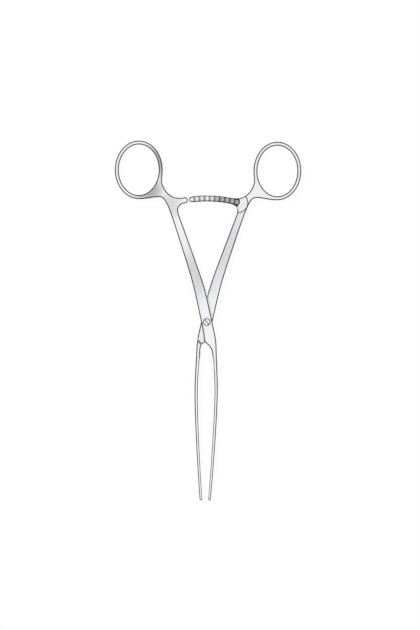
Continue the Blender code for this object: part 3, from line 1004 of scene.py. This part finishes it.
@dataclass
class ForgedHalf:
    """One half of the clamp: ring, web, shank, lap and jaw, with its ratchet arm or stub.

    The half is drawn in its own frame, seen from outside, with its middle at z = 0. The rear half is
    drawn alike and turned over about Y.
    """

    side: Side
    levels: int = 4
    edge_width: float = 0.95 * MM
    edge_tilt: float = math.radians(34)
    edge_turn: float = 0.4
    edge_share: float = 0.85
    band: float = 0.7 * MM
    face_band: float = 0.24
    lap_rim: float = 0.1 * MM
    pocket_rim: float = 0.6 * MM
    root_drop: float = 0.4 * MM
    seat_rim: float = 0.12 * MM
    screw_bore: float = 1.75 * MM
    seat: Point2 = (2.55 * MM, 1.45 * MM)
    flat_share: float = 0.45
    far: float = 40 * MM
    # How far a cutter that breaks an edge starts outside the face
    beyond: float = 1.5 * MM
    # Where an edge band has its section between two points of the outline, and the steps that find its ends
    between: float = 0.41
    tries: int = 9
    joint: Joint = field(default_factory=Joint)
    ring: Ring = field(default_factory=Ring)
    shank: Shank = field(default_factory=Shank)
    jaw: Jaw = field(default_factory=Jaw)
    ratchet: Ratchet = field(default_factory=Ratchet)
    loops: list[list[Vector]] = field(default_factory=list)

    # Cage points in millimetres: from the ring's centre, from the ratchet's root, and from the joint's axis
    web_by_ring = (
        ((8.2, -17.9), (10.2, -15.2), (13.3, -12.4), (15.7, -10.2)),
        ((14.2, -16.8), (15.0, -16.0), (16.4, -15.0), (17.6, -14.1)),
    )
    web_by_ratchet = (
        ((-7.1, 1.5), (-6.0, 2.0), (-3.3, 2.8), (-1.7, 3.1)),
        ((-4.7, -3.3), (-3.3, -3.1), (-0.5, -3.3), (1.3, -3.3)),
        ((-3.5, -6.8), (-2.3, -6.8), (0.2, -6.8), (1.6, -6.8)),
    )
    crotch = {
        Side.FRONT: (
            ((-1.9, -12.9), (0.2, -13.3), (4.3, -13.3), (6.25, -13.0)),
            ((2.5, -15.5), (3.35, -16.0), (5.3, -16.2), (6.45, -16.3)),
        ),
        Side.REAR: (
            ((-0.9, -12.2), (1.0, -12.3), (4.0, -12.4), (6.1, -12.4)),
            ((4.1, -14.4), (4.6, -14.6), (5.5, -15.0), (6.45, -15.6)),
        ),
    }

    @property
    def ground(self) -> bpy.types.Material:
        """What the cut faces are made of."""
        return GROUND.material()

    @property
    def deep(self) -> float:
        """How far a cutter goes through the forging."""
        return self.far / 4

    @property
    def slope(self) -> float:
        """How far a rounded or broken edge falls for its width."""
        return math.tan(self.edge_tilt)

    @property
    def ring_y(self) -> float:
        """The height of the ring's centre above the joint."""
        return self.ratchet.radius + self.ring.rise

    def shank_section(self, y: float) -> Point3:
        """Read the shank's sizes.

        Args:
            y: the place along the shank.

        Returns:
            Centre, width and depth.
        """
        joint, shank = self.joint, self.shank
        if y <= joint.top:
            return joint.centre(y), joint.bar, joint.depth
        top, low = self.ratchet.radius - shank.top_drop, -joint.foot
        places = (top, shank.foot_y, joint.top, low)
        centre = (-shank.top_x, -shank.foot_x, joint.centre(joint.top), joint.centre(low))
        width = (shank.top_width, shank.foot_width, joint.bar, joint.bar)
        depth = (shank.depth, shank.depth, joint.depth, joint.depth)
        reads = [smooth_between(tuple(zip(places, values)), y) for values in (centre, width, depth)]
        return reads[0], reads[1], reads[2]

    def across(self, y: float, centre: float, width: float) -> list[Point2]:
        """The four cage points across a section."""
        return [(centre + share * width / 2, y) for share in (-1, -self.flat_share, self.flat_share, 1)]

    def body_rows(self) -> list[tuple[list[Point2], float, float]]:
        """Cage rows from the web to the jaw's tip.

        Returns:
            Four points, the depth and the width of the rounded edge, for each row.
        """
        def placed(row: tuple[Point2, ...], x: float, y: float) -> list[Point2]:
            """A row's cage points about a place."""
            return [(x + dx * MM, y + dy * MM) for dx, dy in row]

        thick, thin, edge = self.joint.depth, self.shank.depth, self.edge_width
        rows = [(placed(row, -self.ring.centre_x, self.ring_y), thin, edge) for row in self.web_by_ring]
        root = polar(self.ratchet.radius, self.ratchet.root)
        rows += [(placed(row, *root), thin, edge) for row in self.web_by_ratchet]
        top, foot, joint = self.ratchet.radius - self.shank.top_drop, self.shank.foot_y, self.joint
        for y in (top, (top + foot) / 2, foot, joint.top, self.shank.lap_row * joint.top, 0, -joint.foot):
            centre, width, depth = self.shank_section(y)
            rows.append((self.across(y, centre, width), depth, edge))
        rows += [(placed(row, 0, 0), thick, edge) for row in self.crotch[self.side]]
        for y in self.jaw.stations():
            centre, width, depth = self.jaw.section(-y)
            stock = self.jaw.face_stock
            points = self.across(-y, centre - stock / 2, width + stock)
            rows.append((points, depth, min(edge, self.edge_share * width / 2)))
        return rows

    def plan(self, name: str) -> bpy.types.Object:
        """The half's plan as a smooth flat sheet, whose vertex groups hold its depth and its edges' width.

        Args:
            name: the object's name.

        Returns:
            The sheet.
        """
        bm = bmesh.new()
        weights: list[Point2] = []

        def vertex(point: Point2, depth: float, edge: float) -> bmesh.types.BMVert:
            """A cage point, whose depth and edge are noted as weights."""
            weights.append((depth / self.joint.depth, edge / self.edge_width))
            return bm.verts.new((*point, 0))

        width, depth = self.ring.bar
        count = self.ring.segments
        edge = self.edge_share * width / 2
        loops = []
        for offset in (-width / 2, width / 2):
            loops.append([vertex(self.ring.point(self.ring_y, math.tau * k / count, offset), depth, edge)
                          for k in range(count)])
        inner, outer = loops
        for k in range(count):
            after = (k + 1) % count
            bm.faces.new((inner[k], outer[k], outer[after], inner[after]))
        rows = [[outer[count - 4 + j] for j in range(4)]]
        for points, deep, rounded in self.body_rows():
            rows.append([vertex(point, deep, rounded) for point in points])
        for upper, lower in zip(rows, rows[1:]):
            for j in range(3):
                bm.faces.new((upper[j], lower[j], lower[j + 1], upper[j + 1]))
        # The bar or stub grows out of the side of the web
        last = (rows[3][3], rows[4][3])
        for pair in self.ratchet.pairs(self.side):
            made = [vertex(point, self.shank.depth, self.edge_width) for point in pair]
            bm.faces.new((last[0], last[1], made[1], made[0]))
            last = made
        sheet = object_from(name, bm, SATIN.material())
        for column, group_name in enumerate(("depth", "edge")):
            group = sheet.vertex_groups.new(name=group_name)
            for index, weight in enumerate(weights):
                group.add([index], weight[column], "REPLACE")
        rounding = sheet.modifiers.new("smooth plan", "SUBSURF")
        rounding.levels = rounding.render_levels = self.levels
        bake_modifiers(sheet)
        return sheet

    def fall(self, distance: float, edge: float) -> float:
        """How far the rounded edge has fallen at a distance from the outline.

        Args:
            distance: how far inside the outline.
            edge: the width of the rounded edge.

        Returns:
            The drop, along an arc that starts level and turns to the edge's tilt, and then a straight slope.
        """
        run = max(edge - distance, 0.0)
        turn = edge * self.edge_turn
        radius = turn / math.sin(self.edge_tilt)
        on_arc = min(run, turn)
        return radius - math.sqrt(radius**2 - on_arc**2) + (run - on_arc) * self.slope

    def blank(self, name: str) -> bpy.types.Object:
        """The forging before any cut: the plan raised to its depth, with rounded edges on both faces.

        Args:
            name: the object's name.

        Returns:
            The forging.
        """
        sheet = self.plan(name)
        bm = bmesh.new()
        bm.from_mesh(sheet.data)
        for face in bm.faces:
            if face.normal.z < 0:
                face.normal_flip()
        bm.to_mesh(sheet.data)
        self.loops = border_loops(sheet.data)
        layer = bm.verts.layers.deform.verify()
        groups = {group.name: group.index for group in sheet.vertex_groups}
        border = [edge for edge in bm.edges if edge.is_boundary]
        samples = 6
        tree = KDTree(len(border) * samples)
        for i, edge in enumerate(border):
            start, end = (vert.co for vert in edge.verts)
            for j in range(samples):
                tree.insert(start.lerp(end, j / samples), i * samples + j)
        tree.balance()
        heights = {}
        for vert in bm.verts:
            depth = vert[layer].get(groups["depth"], 1.0) * self.joint.depth
            edge = vert[layer].get(groups["edge"], 1.0) * self.edge_width
            away = 0.0 if vert.is_boundary else tree.find(vert.co)[2]
            heights[vert] = depth / 2 - self.fall(away, edge)
        tops = list(bm.verts)
        under = {vert: bm.verts.new(vert.co) for vert in tops}
        for face in list(bm.faces):
            bm.faces.new([under[vert] for vert in reversed(face.verts)])
        for edge in border:
            loop = edge.link_loops[0]
            first, second = loop.vert, loop.link_loop_next.vert
            bm.faces.new((second, first, under[first], under[second]))
        for vert in tops:
            under[vert].co.z = -heights[vert]
            vert.co.z = heights[vert]
        bmesh.ops.recalc_face_normals(bm, faces=bm.faces)
        bm.to_mesh(sheet.data)
        bm.free()
        sheet.vertex_groups.clear()
        return sheet

    def face_bands(self) -> list[bpy.types.Object]:
        """Slope off both long edges of the clamping face.

        Returns:
            One cutter for each edge.
        """
        out, beyond = 0.5 * MM, 1 * MM
        cutters = []
        for way in (1, -1):
            run = []
            for x, y, _ in self.jaw.face_path():
                _, width, depth = self.jaw.section(max(y, -self.jaw.length))
                near, far = x + self.face_band * width, x - out
                top = way * (depth / 2 + beyond)
                low = way * (depth / 2 - (near - far) * self.slope)
                run.append([(near, y, way * depth / 2), (near, y, top), (far, y, top), (far, y, low)])
            cutters.append(loft("face_band", run, self.ground))
        return cutters

    def root_band(self) -> bpy.types.Object:
        """Break the edge between the first crest and the pocket.

        Returns:
            The cutter, which slopes from a little way over the pocket into the crest.
        """
        size, over, wide, tall = self.ratchet, 0.15 * MM, 1.2 * MM, 3 * MM
        crest, reach = -size.height / 2, size.width / 2 + size.room
        deep = crest + self.root_drop
        profile = [(-over, deep + over * self.slope), (wide, deep - wide * self.slope), (wide, crest - tall),
                   (-over, crest - tall)]
        turn = (math.cos(size.root_crest), math.sin(size.root_crest))
        ends = [polar(size.radius + way * reach, -size.root_crest) for way in (-1, 1)]
        sections = [[(x + u * turn[0], y + u * turn[1], z) for u, z in profile] for x, y in ends]
        return loft("root_band", sections, self.ground)

    def lap_cutter(self) -> bpy.types.Object:
        """Cut the recess for the other half, with its slanted lower shoulder and broken edges.

        Returns:
            The cutter.
        """
        joint = self.joint
        floor, face = joint.lap_gap / 2, -joint.depth / 2
        rate = joint.lower_draft / (floor - face)
        heights = self.rim_levels(face, self.lap_rim) + [(floor, 0.0)]
        levels = [(z, joint.outline(rate * (floor - z), swell, self.far)) for z, swell in heights]
        return loft("lap_cutter", stacked(levels), self.ground)

    def rim_levels(self, face: float, rim: float) -> list[Point2]:
        """Heights and swellings that break the edge where a cut meets an outer face below it."""
        return [(face - self.beyond, rim + self.beyond / self.slope), (face + rim * self.slope, 0.0)]

    def edge_bands(self, floor: Callable[[Vector], float], region: list[Point2]) -> list[bpy.types.Object]:
        """Cutters that slope off the outline of a cut floor, as its own edge is dressed.

        Args:
            floor: the height of the floor, which faces down, at a point of the outline.
            region: the outline of the cut.

        Returns:
            One cutter for each stretch of the half's outline in the region.
        """
        # How far a cutter reaches outside the outline and below the floor, and how far its inner edge stays
        # from the floor, which it would meet exactly otherwise
        out, deep, clear = 0.6 * MM, 3 * MM, 0.013 * MM
        fewest = 4  # sections, under which a stretch is too short to be dressed
        cutters = []
        for points in self.loops:
            count = len(points)
            held = [inside(point, region) for point in points]
            start = next((i for i in range(count) if held[i] and not held[i - 1]), None)
            if start is None:
                continue
            run: list[list[Point3]] = []
            for i in range(start - 1, start - 1 + count):
                first, second = points[i % count], points[(i + 1) % count]
                enters, leaves = not held[i % count], not held[(i + 1) % count]
                if enters and leaves:
                    continue
                way = (second - first).normalized()
                away = Vector((way.y, -way.x, 0))
                # A section between two points of the outline never meets an edge of the wall exactly
                ends = enters or leaves
                share = self.crossing(first, second, away * self.band, region, leaves) if ends else self.between
                here = first.lerp(second, share)
                near, far = here - away * self.band, here + away * out
                base = floor(here)
                top = base + (self.band + out) * self.slope
                if share not in (0.0, 1.0):
                    run.append([(near.x, near.y, base - deep), (far.x, far.y, base - deep), (far.x, far.y, top),
                                (near.x, near.y, base - clear)])
                if leaves:
                    if len(run) >= fewest:
                        cutters.append(loft("edge_band", run, self.ground))
                    run = []
        return cutters

    def crossing(self, first: Vector, second: Vector, band: Vector, region: list[Point2], leaves: bool) -> float:
        """Find where an edge band ends on the segment by which the outline enters or leaves a region.

        Args:
            first: the segment's start.
            second: its end.
            band: the band's width, outwards.
            region: the outline of the region.
            leaves: whether the outline leaves the region here.

        Returns:
            The share of the segment at which both edges of the band still lie in the region.
        """
        low, high = 0.0, 1.0
        for _ in range(self.tries):
            share = (low + high) / 2
            spot = first.lerp(second, share)
            within = inside(spot, region) and inside(spot - band, region)
            low, high = (share, high) if within is leaves else (low, share)
        return low if leaves else high

    def build(self, saw: SawTree, grooves: GrooveTree) -> bpy.types.Object:
        """Forge and cut the half.

        Args:
            saw: the tree that makes the ratchet's cutters.
            grooves: the tree that makes the clamping face's cutter.

        Returns:
            The finished piece, at the origin of the frame.
        """
        name = f"{self.side.value}_half_forging"
        item = self.blank(name)
        ends = stacked([(z, circle(self.screw_bore)) for z in (-self.deep, self.deep)])
        bore = loft("bore_cutter", ends, self.ground)
        path = poly_curve("face_path", self.jaw.face_path(), closed=False)
        comb = poly_curve("face_comb", self.jaw.comb(self.joint.depth), closed=True)
        face = grooves.cutter("face_cutter", {"Path": path, "Comb": comb, "Steel": self.ground})
        for helper in (path, comb):
            bpy.data.objects.remove(helper, do_unlink=True)
        teeth = saw.cutter("saw_cutter", self.ratchet.saw(self.side) | {"Steel": FILED.material()})
        cutters = []
        if self.side is Side.REAR:
            # The pocket comes before the teeth, whose first gullet lies in it
            cutters.append(self.pocket_cutter())
            cutters += self.edge_bands(lambda _: self.ratchet.height / 2, self.ratchet.pocket())
        cutters += [self.lap_cutter(), bore, face, teeth, *self.face_bands()]
        cutters += self.edge_bands(lambda _: self.joint.lap_gap / 2, self.joint.outline(0, 0, self.far))
        if self.side is Side.FRONT:
            cutters += [self.seat_cutter(), self.channel_cutter()]
        else:
            cutters.append(self.root_band())
            cutters += self.edge_bands(self.ratchet.ramp, self.ratchet.tip())
        item.location.z = self.joint.depth / 2
        if self.side is Side.REAR:
            item.rotation_euler.y = math.pi
        cut_all(item, cutters)
        LOG.info("%s: %d faces", name, len(item.data.polygons))
        return item

    def seat_cutter(self) -> bpy.types.Object:
        """Cut the seat of the screw's head, with a broken edge.

        Returns:
            The cutter.
        """
        (radius, depth), face, rim = self.seat, self.joint.depth / 2, self.seat_rim
        levels = [(face - depth, circle(radius)), (face - rim * self.slope, circle(radius)),
                  (face + self.beyond, circle(radius + rim + self.beyond / self.slope))]
        return loft("seat_cutter", stacked(levels), self.ground)

    def pocket_cutter(self) -> bpy.types.Object:
        """Cut the pocket at the arm's root, with a broken edge.

        Returns:
            The cutter.
        """
        outline = self.ratchet.pocket()
        rim = self.rim_levels(-self.shank.depth / 2, self.pocket_rim)
        levels = [(z, swollen(outline, swell)) for z, swell in rim]
        # The floor lies a hair past the saw's foot, so that the two never meet exactly
        hair = 0.011 * MM
        return loft("pocket_cutter", stacked(levels + [(self.ratchet.height / 2 + hair, outline)]), self.ground)

    def channel_cutter(self) -> bpy.types.Object:
        """Cut the channel across the back of the shank, through which the long bar passes.

        Returns:
            The cutter.
        """
        size = self.ratchet
        half = size.width / 2 + size.room
        start, end = size.channel_start, size.stub_end - size.stub_count * size.pitch
        angles = spread(start, end, size.channel_steps)
        outline = [polar(size.radius + half, a) for a in angles]
        outline += [polar(size.radius - half, a) for a in angles[::-1]]
        ceiling = size.height / 2 + size.gap
        return loft("channel_cutter", stacked([(-self.deep, outline), (ceiling, outline)]), self.ground)


@dataclass
class JointScrew:
    """The screw of the lap joint, let into the front half."""

    head: float = 4.6 * MM
    head_depth: float = 1.2 * MM
    rim: float = 0.62 * MM
    rim_turn: float = 0.3
    rim_tilt: float = math.radians(36)
    rim_steps: int = 8
    slot_tilt: float = math.radians(32)
    shank: float = 3.0 * MM
    length: float = 5.6 * MM
    chamfer: float = 0.2 * MM
    slot_width: float = 0.6 * MM
    slot_depth: float = 0.6 * MM
    slot_angle: float = math.radians(-50)

    def profile(self) -> list[Point2]:
        """Draw the turned outline.

        Returns:
            Radius and height, from the head's middle to the end's middle.
        """
        head, shank, top = self.head / 2, self.shank / 2, self.length
        arc = self.rim * self.rim_turn
        radius = arc / math.sin(self.rim_tilt)
        edge = []
        for turn in spread(0.0, self.rim_tilt, self.rim_steps):
            edge.append((head - self.rim + radius * math.sin(turn), top - radius * (1 - math.cos(turn))))
        edge.append((head, edge[-1][1] - (self.rim - arc) * math.tan(self.rim_tilt)))
        under = top - self.head_depth
        return [(0.0, top), *edge, (head, under), (shank, under), (shank, self.chamfer),
                (shank - self.chamfer, 0.0), (0.0, 0.0)]

    def build(self) -> bpy.types.Object:
        """Turn the screw and cut its slot.

        Returns:
            The finished piece.
        """
        bm = bmesh.new()
        verts = [bm.verts.new((x, 0, z)) for x, z in self.profile()]
        edges = [bm.edges.new(pair) for pair in zip(verts, verts[1:])]
        bmesh.ops.spin(bm, geom=verts + edges, cent=(0, 0, 0), axis=(0, 0, 1), angle=math.tau,
                       steps=ROUND_STEPS, use_merge=True)
        bmesh.ops.remove_doubles(bm, verts=bm.verts, dist=MERGE)
        bmesh.ops.recalc_face_normals(bm, faces=bm.faces)
        item = object_from("joint_screw_turned", bm, TURNED.material())
        cut_all(item, [self.slot_cutter()])
        LOG.info("joint screw: %d faces", len(item.data.polygons))
        return item

    def slot_cutter(self) -> bpy.types.Object:
        """Cut the driver's slot as a pointed wheel does: straight sides over a vee.

        Returns:
            The cutter.
        """
        half, top = self.slot_width / 2, self.length
        vee = top - self.slot_depth
        wall = vee + half * math.tan(self.slot_tilt)
        section = [(half, top + half), (-half, top + half), (-half, wall), (0.0, vee), (half, wall)]
        along = Vector((math.cos(self.slot_angle), math.sin(self.slot_angle), 0))
        aside = Vector((-along.y, along.x, 0))
        sections = []
        for reach in (-self.head, self.head):
            sections.append([tuple(along * reach + aside * x + Vector((0, 0, z))) for x, z in section])
        return loft("slot_cutter", sections, GROUND.material())


@dataclass(frozen=True)
class Lamp:
    """A wide soft lamp that points at the joint, polarised so that steel doesn't mirror it."""

    name: str
    place: Point3
    size: float
    watts: float

    def hang(self) -> None:
        """Hang the lamp in its place."""
        data = bpy.data.lights.new(self.name, "AREA")
        data.size = self.size
        data.energy = self.watts
        lamp = bpy.data.objects.new(self.name, data)
        lamp.location = self.place
        lamp.visible_glossy = False
        lamp.rotation_euler = (-Vector(self.place)).to_track_quat("-Z", "Y").to_euler()
        bpy.context.scene.collection.objects.link(lamp)


@dataclass
class Studio:
    """A plain white table top, soft light from above, and the camera over the instrument."""

    pixel: float = 230 / 360 * MM
    picture: tuple[int, int] = (420, 630)
    pivot_pixel: Point2 = (206.75, 322.0)
    roll: float = math.radians(0.5)
    sensor: float = 24.0
    farthest: float = 20.0
    height: float = 2.4
    focus_z: float = 2.8 * MM
    whiteness: float = 0.92
    table: float = 4.0
    table_drop: float = 0.05 * MM
    # The sky's brightness at each elevation, in degrees
    sky_steps: tuple[Point2, ...] = ((0, 1.0), (3, 1.0), (7, 0.06), (37, 0.06), (53, 1.08), (90, 1.15))
    # A key lamp at the upper left and a fill at the right
    lamps: tuple[Lamp, ...] = (Lamp("key", (-0.7, 0.6, 1.1), 0.7, 11.0), Lamp("fill", (0.9, -0.3, 0.8), 0.8, 4.0))

    def camera(self) -> None:
        """Look straight down, at the photograph's scale and roll."""
        width, height = self.picture
        right = (width / 2 - self.pivot_pixel[0]) * self.pixel
        up = (self.pivot_pixel[1] - height / 2) * self.pixel
        data = bpy.data.cameras.new("camera")
        data.sensor_fit = "VERTICAL"
        data.sensor_height = self.sensor
        data.lens = data.sensor_height * self.height / (height * self.pixel)
        data.clip_end = self.farthest
        camera = bpy.data.objects.new("camera", data)
        cos, sin = math.cos(self.roll), math.sin(self.roll)
        camera.location = (right * cos - up * sin, right * sin + up * cos, self.height + self.focus_z)
        camera.rotation_euler = (0, 0, self.roll)
        bpy.context.scene.collection.objects.link(camera)
        bpy.context.scene.camera = camera

    def floor(self) -> None:
        """A white table top that keeps the clamp's soft shadow.

        The camera and mirror images see it mostly as plain white, and the rest of it is lit as matt laminate.
        """
        bm = bmesh.new()
        bmesh.ops.create_grid(bm, x_segments=1, y_segments=1, size=self.table)
        material = bpy.data.materials.new("white_table_top_matt_laminate")
        material.use_nodes = True
        tree = material.node_tree
        shader = tree.nodes["Principled BSDF"]
        shader.inputs["Base Color"].default_value = linear("F6F6F6")
        shader.inputs["Roughness"].default_value = 0.9
        shader.inputs["Specular IOR Level"].default_value = 0.1
        ray = add_node(tree, "ShaderNodeLightPath").outputs
        seen = ray["Is Camera Ray"]
        for kind in ("Is Glossy Ray", "Is Transmission Ray"):
            seen = add_node(tree, "ShaderNodeMath", {0: seen, 1: ray[kind]}, operation="MAXIMUM").outputs[0]
        share = add_node(tree, "ShaderNodeMath", {0: seen, 1: self.whiteness}, operation="MULTIPLY").outputs[0]
        white = add_node(tree, "ShaderNodeEmission", {"Color": (1, 1, 1, 1), "Strength": 1.0})
        mixed = add_node(tree, "ShaderNodeMixShader", {0: share, 1: shader.outputs[0], 2: white.outputs[0]})
        tree.links.new(mixed.outputs[0], tree.nodes["Material Output"].inputs["Surface"])
        floor = object_from("floor", bm, material)
        floor.location.z = -self.table_drop

    def sky(self) -> None:
        """Light that depends on elevation alone: a white horizon, a dark band, and a wide soft lamp overhead.

        Level faces mirror the lamp, and rounded edges mirror the dark band, which draws their outlines.
        """
        world = bpy.data.worlds.new("soft studio")
        bpy.context.scene.world = world
        world.use_nodes = True
        tree = world.node_tree
        tree.nodes.clear()
        seen = add_node(tree, "ShaderNodeTexCoord").outputs["Generated"]
        way = add_node(tree, "ShaderNodeSeparateXYZ", {0: seen})
        level = add_node(tree, "ShaderNodeMath", {0: way.outputs["Z"]}, operation="ARCSINE")
        share = add_node(tree, "ShaderNodeMath", {0: level.outputs[0], 1: math.pi / 2}, operation="DIVIDE")
        ramp = add_node(tree, "ShaderNodeValToRGB", {0: share.outputs[0]})
        bright = max(value for _, value in self.sky_steps)
        stops = ramp.color_ramp.elements
        for _ in self.sky_steps[2:]:
            stops.new(0.5)
        for stop, (degrees, _) in zip(stops, self.sky_steps):
            stop.position = degrees / 90
        for stop, (_, value) in zip(stops, self.sky_steps):
            stop.color = (value / bright, value / bright, value / bright, 1)
        lit = add_node(tree, "ShaderNodeBackground", {"Color": ramp.outputs["Color"], "Strength": bright})
        add_node(tree, "ShaderNodeOutputWorld", {"Surface": lit.outputs[0]})


def corners(bounds: tuple[Vector, Vector]) -> list[list[float]]:
    """A box's two corners as plain lists."""
    return [list(map(float, corner)) for corner in bounds]


def main() -> None:
    """Build the clamp's looks in the frame."""
    logging.basicConfig(level=logging.INFO, format="%(message)s")
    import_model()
    studio = Studio()
    studio.camera()
    saw, grooves = SawTree(), GrooveTree()
    for side in Side:
        piece = ForgedHalf(side).build(saw, grooves)
        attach(piece, side.value)
        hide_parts(f"{side.value}_half")
    screw = JointScrew().build()
    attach(screw, "rear")
    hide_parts("joint_screw")
    studio.floor()
    studio.sky()
    for lamp in studio.lamps:
        lamp.hang()
    bpy.context.scene.view_settings.view_transform = "Standard"


if __name__ == "__main__":
    main()
